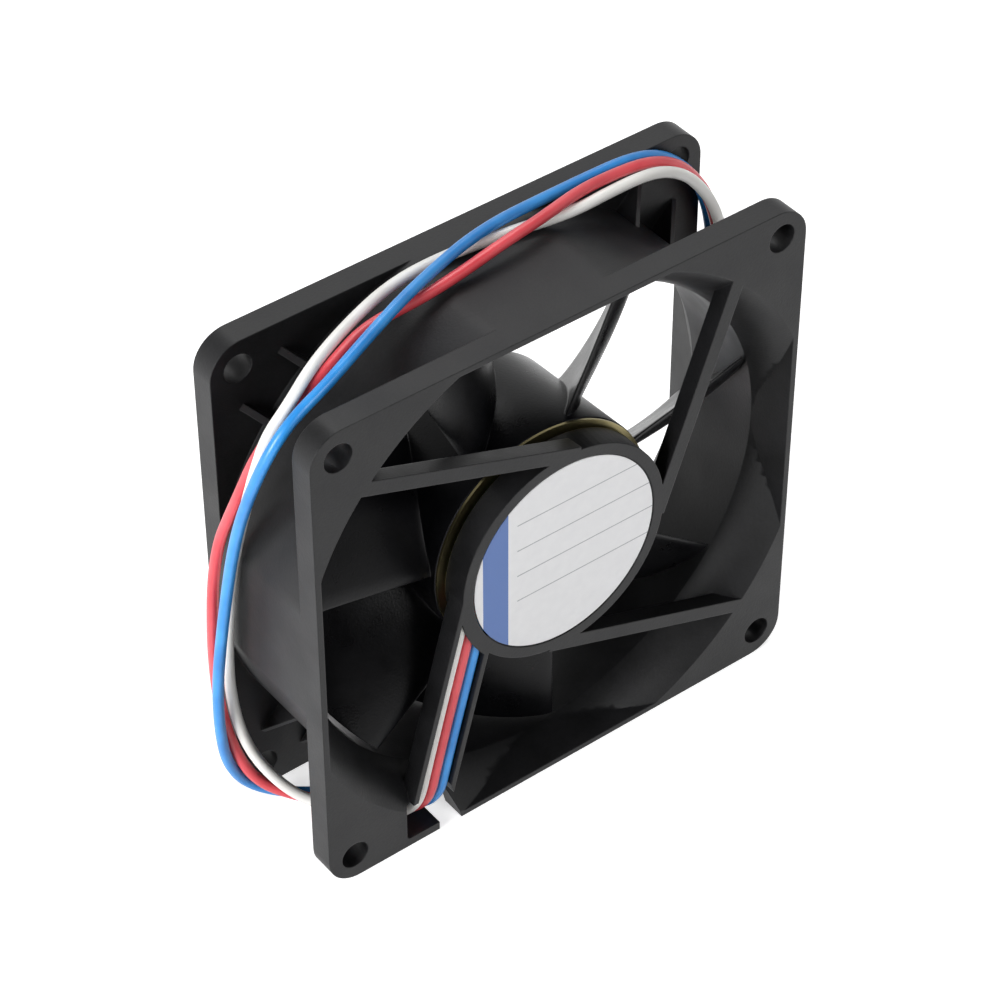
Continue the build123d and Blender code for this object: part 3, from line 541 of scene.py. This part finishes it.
def closed_blade():
    """One blade, its root inside the hub's wall and its tip closed on the mean surface."""
    near_hub = np.linspace(ROOT_R, ROOT_ZONE_R, ROOT_ROWS)
    radii = np.concatenate([near_hub, np.linspace(ROOT_ZONE_R, TIP_R, BLADE_ROWS)[1:]])
    rings = blade_points(radii, STATIONS)
    middle = (rings[-1:] + np.roll(rings[-1:, ::-1], 1, axis=1)) / 2
    root = (rings[:1] + np.roll(rings[:1, ::-1], 1, axis=1)) / 2
    points = np.concatenate([root, rings, middle])
    return points, grid_faces(points.shape[0], points.shape[1], False, True)


def turned(points, degrees):
    """Points turned about the rotor's axis, from +Z towards +X."""
    c, s = np.cos(np.radians(degrees)), np.sin(np.radians(degrees))
    x, y, z = np.moveaxis(points, -1, 0)
    return np.stack([x * c + z * s, y, z * c - x * s], -1)


# %% [markdown]
# The hub of the impeller is a turned shape: a profile of radius and height, revolved.
# Straight walls keep their two end points, and each rounded edge gets a few more.

# %% Revolved shapes
def revolved(profile, segments):
    """Closed ring of a profile (radius, y) turned about Y: x = r cos t, z = r sin t."""
    r, y = np.asarray(profile, float).T
    t = np.linspace(0, 2 * np.pi, segments, endpoint=False)[:, None]
    points = np.stack([r * np.cos(t), y + 0 * t, r * np.sin(t)], -1)
    return points, grid_faces(segments, len(r), True, True)


def quarter(centre, radius, start, end, steps):
    """Points of an arc about a centre (radius, y), between two angles in degrees."""
    t = np.radians(np.linspace(start, end, steps))
    return list(zip(centre[0] + radius * np.cos(t), centre[1] + radius * np.sin(t)))


YOKE_R, YOKE_BACK, YOKE_ROUND = 16.4, 10.7, 0.8
ROTOR_FRONT, ROTOR_BACK, HUB_ROUND, FRONT_ROUND = -7.5, 12.2, 1.4, 0.2
SHAFT_R, SHAFT_BACK, AXIS_R = 1.5, 11.6, 0.02
HUB_SEGMENTS = 128
hub_profile = [
    (YOKE_R, YOKE_BACK - YOKE_ROUND),
    (YOKE_R, ROTOR_FRONT),
    *quarter((HUB_FRONT_R - FRONT_ROUND, ROTOR_FRONT + FRONT_ROUND), FRONT_ROUND, -90, 0, 4),
    *quarter((HUB_BACK_R - HUB_ROUND, ROTOR_BACK - HUB_ROUND), HUB_ROUND, 0, 90, 9),
    (AXIS_R, ROTOR_BACK),
    (AXIS_R, SHAFT_BACK),
    (SHAFT_R, SHAFT_BACK),
    (SHAFT_R, YOKE_BACK),
    *quarter((YOKE_R - YOKE_ROUND, YOKE_BACK - YOKE_ROUND), YOKE_ROUND, 90, 10, 6),
]
blade, blade_faces = closed_blade()
shapes = [revolved(hub_profile, HUB_SEGMENTS)]
for k in range(BLADE_COUNT):
    shapes.append((turned(blade, FIRST_BLADE + k * 360 / BLADE_COUNT), blade_faces))
points, faces = joined(shapes)
impeller = surface(
    "impeller_moulding", points, faces,
    impeller_polyester, "rotor", ["impeller"],
)
print("impeller faces", len(impeller.data.polygons))

# %% [markdown]
# The housing is one moulding, already shaped edge by edge in the solid model. Its mesh
# comes as loose triangles, so a copy is welded and its coplanar triangles are joined. The
# steps of its round faces are all under 9 degrees, so shading runs on below 10 and stops
# at every true edge, which the material then rounds by 0.25 mm. Normals weighted by area
# keep each flat flange flat right up to its round corner.

# %% Welded copies of solids
WELD_MM, FLAT_ANGLE, FLAT_FACES_WEIGHT = 0.0005, 0.2, 90
SMOOTH_ANGLE, HOUSING_SMOOTH_ANGLE = 30.0, 10.0


def welded_copy(name, source, material, body, smooth_angle=SMOOTH_ANGLE):
    """Copy of a solid's mesh with its doubles merged and its shading split at edges."""
    mesh = bpy.data.meshes.new(name)
    work = bmesh.new()
    work.from_mesh(nodes[source].data)
    bmesh.ops.remove_doubles(work, verts=work.verts, dist=WELD_MM * MM)
    bmesh.ops.dissolve_limit(
        work, angle_limit=np.radians(FLAT_ANGLE),
        verts=work.verts, edges=work.edges, delimit={"NORMAL"},
    )
    work.to_mesh(mesh)
    work.free()
    mesh.polygons.foreach_set("use_smooth", np.ones(len(mesh.polygons), bool))
    mesh.set_sharp_from_angle(angle=np.radians(smooth_angle))
    mesh.materials.clear()
    mesh.materials.append(material)
    piece = bpy.data.objects.new(name, mesh)
    bpy.context.scene.collection.objects.link(piece)
    flat_faces_lead = piece.modifiers.new("flat_faces_lead", "WEIGHTED_NORMAL")
    flat_faces_lead.keep_sharp, flat_faces_lead.weight = True, FLAT_FACES_WEIGHT
    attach(piece, body)
    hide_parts(source)
    return piece


housing = welded_copy(
    "housing_moulding", "housing_frame", housing_polyester,
    "housing", smooth_angle=HOUSING_SMOOTH_ANGLE,
)
print("housing faces", len(housing.data.polygons))

# %% [markdown]
# The label is a printed film: white, with a blue band on the left and fine grey rules.
# The print is worked out from the place on the label in millimetres, so it stays sharp
# at any distance.

# %% Printed label
LABEL_RULES, RULE_HALF, RULES_START = (9.0, 4.5, 0.0, -4.5), 0.09, -8.0
BAND_MIDDLE, BAND_HALF, PAPER_CLOUD_MM = -11.6, 2.1, 1.2


def rule_mask(tree, coordinate, centre_mm, half_width_mm):
    """1 where the coordinate lies within half_width of the centre, 0 elsewhere."""
    moved = node(tree, "Math", {"operation": "SUBTRACT"}, {0: coordinate, 1: centre_mm * MM})
    size = node(tree, "Math", {"operation": "ABSOLUTE"}, {0: moved.outputs[0]})
    inside = node(
        tree, "Math", {"operation": "LESS_THAN"}, {0: size.outputs[0], 1: half_width_mm * MM}
    )
    return inside.outputs[0]


def printed_film():
    """White film with a blue band and four grey rules, under a thin clear coat."""
    material, tree, shader = new_material(
        "printed_polyester_film", IOR=1.5, Roughness=0.35, Coat_Weight=0.3, Coat_Roughness=0.15
    )
    place = node(tree, "TexCoord").outputs["Object"]
    parts = node(tree, "SeparateXYZ", inputs={"Vector": place})
    across, up = parts.outputs["X"], parts.outputs["Z"]
    fibre = node(
        tree, "TexNoise", inputs={"Vector": place, "Scale": 1 / (PAPER_CLOUD_MM * MM)}
    )
    paper = node(tree, "ValToRGB", inputs={"Fac": fibre.outputs["Fac"]})
    paper.color_ramp.elements[0].color = linear("#ECECEE")
    paper.color_ramp.elements[1].color = linear("#F6F6F7")
    colour = paper.outputs["Color"]
    right_of_band = node(
        tree, "Math", {"operation": "GREATER_THAN"}, {0: across, 1: RULES_START * MM}
    )
    for height in LABEL_RULES:
        rule = node(
            tree, "Math", {"operation": "MULTIPLY"},
            {0: rule_mask(tree, up, height, RULE_HALF), 1: right_of_band.outputs[0]},
        )
        colour = node(
            tree, "Mix", {"data_type": "RGBA"},
            {0: rule.outputs[0], 6: colour, 7: linear("#A9ABB0")},
        ).outputs[2]
    band = rule_mask(tree, across, BAND_MIDDLE, BAND_HALF)
    colour = node(
        tree, "Mix", {"data_type": "RGBA"}, {0: band, 6: colour, 7: linear("#466FB6")}
    ).outputs[2]
    tree.links.new(colour, shader.inputs["Base Color"])
    bump = node(
        tree, "Bump",
        inputs={"Strength": 0.1, "Distance": 0.02 * MM, "Height": fibre.outputs["Fac"]},
    )
    tree.links.new(bump.outputs[0], shader.inputs["Normal"])
    return material


finishes["label_paper"] = printed_film()
print("label rules", len(LABEL_RULES))

# %% Finishes of the solids that stay
replaced = {"housing_frame", "impeller"}
replaced |= {"lead_" + colour + end for colour in ROUTES for end in ("", "_tip")}
kept = [item for item in frame["record"]["subparts"] if item["node"] not in replaced]
bodies = frame["record"]["behaviour"]["bodies"]
body_of_node = {name: body for body, names in bodies.items() for name in names}
for item in kept:
    welded_copy(
        item["node"] + "_finished", item["node"], finishes[item["material_slot"]],
        body_of_node[item["node"]],
    )
print("finished solids", len(kept))

# %% [markdown]
# Lamps. The photo looks as if taken in a white tent: broad soft light from the upper
# left, the front and above, and a white surround that every smooth edge reflects. The
# tent is dark on one side, at its door, which is on the side of the camera. Faces turned
# that way reflect little and look black. The door is a fixed place in the world and
# stays put when the camera moves. The floor is white to the camera, and still takes the
# fan's soft shadow.


# %% Lamps
def soft_lamp(name, place_mm, size_mm, power):
    """Square area lamp that faces the middle of the fan."""
    data = bpy.data.lights.new(name, "AREA")
    data.shape, data.size, data.energy = "SQUARE", size_mm * MM, power
    lamp = bpy.data.objects.new(name, data)
    place = Vector(place_mm) * MM
    lamp.location = place
    lamp.rotation_euler = (-place).to_track_quat("-Z", "Y").to_euler()
    bpy.context.scene.collection.objects.link(lamp)
    print(name, power, "W")


soft_lamp("tent_left", (-600, -60, 240), 320, 4.9)
soft_lamp("tent_front", (60, -620, 460), 300, 1.8)
soft_lamp("tent_top", (160, 260, 640), 380, 1.8)


# %% World and floor
TENT_GLOW, DOOR_MIDDLE, DOOR_COSINE, DOOR_GLOW = 0.24, (-0.45, -0.59, 0.67), 0.6, 0.05
FLOOR_LIFT, FLOOR_NEAR, FLOOR_FAR = 0.64, 100, 900


def white_for_camera(tree):
    """1 for rays from the camera, mirrors and glass, and 0 for light that bounces."""
    path = node(tree, "LightPath")
    seen = node(
        tree, "Math", {"operation": "MAXIMUM"},
        {0: path.outputs["Is Camera Ray"], 1: path.outputs["Is Glossy Ray"]},
    )
    return node(
        tree, "Math", {"operation": "MAXIMUM"},
        {0: seen.outputs[0], 1: path.outputs["Is Transmission Ray"]},
    ).outputs[0]


def tent_world():
    """White where it is seen, a plain grey as a source of light, dark at the tent's door.

    The wall goes from white to dark as the cosine of the angle between a direction and
    the door's middle goes from 0 to DOOR_COSINE. The camera itself still sees white.
    """
    world = bpy.data.worlds.new("white_tent")
    world.use_nodes = True
    tree = world.node_tree
    level = node(
        tree, "MapRange",
        inputs={"Value": white_for_camera(tree), "To Min": TENT_GLOW, "To Max": 1.0},
    )
    direction = node(tree, "TexCoord").outputs["Object"]
    cosine = node(tree, "VectorMath", {"operation": "DOT_PRODUCT"}, {0: direction, 1: DOOR_MIDDLE})
    wall = node(
        tree, "MapRange", inputs={
            "Value": cosine.outputs["Value"], "From Min": 0.0, "From Max": DOOR_COSINE,
            "To Min": 1.0, "To Max": DOOR_GLOW,
        },
    )
    seen = node(
        tree, "Math", {"operation": "MAXIMUM"},
        {0: wall.outputs[0], 1: node(tree, "LightPath").outputs["Is Camera Ray"]},
    )
    strength = node(
        tree, "Math", {"operation": "MULTIPLY"}, {0: level.outputs[0], 1: seen.outputs[0]}
    )
    tree.links.new(strength.outputs[0], tree.nodes["Background"].inputs["Strength"])
    tree.nodes["Background"].inputs["Color"].default_value = (1.0, 1.0, 1.0, 1.0)
    bpy.context.scene.world = world


def paper_floor(height_mm, size_mm):
    """Level sheet under the fan: white to the camera, less what the shadow takes.

    The lamps light it only near the fan, so its own white grows with the distance.
    """
    half = size_mm / 2
    corners = np.array([(-half, -half), (half, -half), (half, half), (-half, half)], float)
    corners = np.c_[corners, np.full(4, height_mm)] * MM
    mesh = bpy.data.meshes.new("paper_floor")
    mesh.from_pydata(corners.tolist(), [], [(0, 1, 2, 3)])
    material = bpy.data.materials.new("white_paper_floor")
    material.use_nodes = True
    tree = material.node_tree
    tree.nodes.remove(tree.nodes["Principled BSDF"])
    paper = node(tree, "BsdfDiffuse", inputs={"Color": linear("#E8E8E8")})
    place = node(tree, "TexCoord").outputs["Object"]
    distance = node(tree, "VectorMath", {"operation": "LENGTH"}, {0: place})
    lift = node(
        tree, "MapRange", inputs={
            "Value": distance.outputs["Value"],
            "From Min": FLOOR_NEAR * MM, "From Max": FLOOR_FAR * MM,
            "To Min": FLOOR_LIFT, "To Max": 1.0,
        },
    )
    seen = node(
        tree, "Math", {"operation": "MULTIPLY"}, {0: lift.outputs[0], 1: white_for_camera(tree)}
    )
    glow = node(tree, "Emission", inputs={"Strength": seen.outputs[0]})
    both = node(tree, "AddShader", inputs={0: paper.outputs[0], 1: glow.outputs[0]})
    tree.links.new(both.outputs[0], tree.nodes["Material Output"].inputs["Surface"])
    mesh.materials.append(material)
    floor = bpy.data.objects.new("paper_floor", mesh)
    bpy.context.scene.collection.objects.link(floor)


tent_world()
paper_floor(height_mm=-40.02, size_mm=3000)
bpy.context.scene.view_settings.view_transform = "Standard"
print("world", bpy.context.scene.world.name)
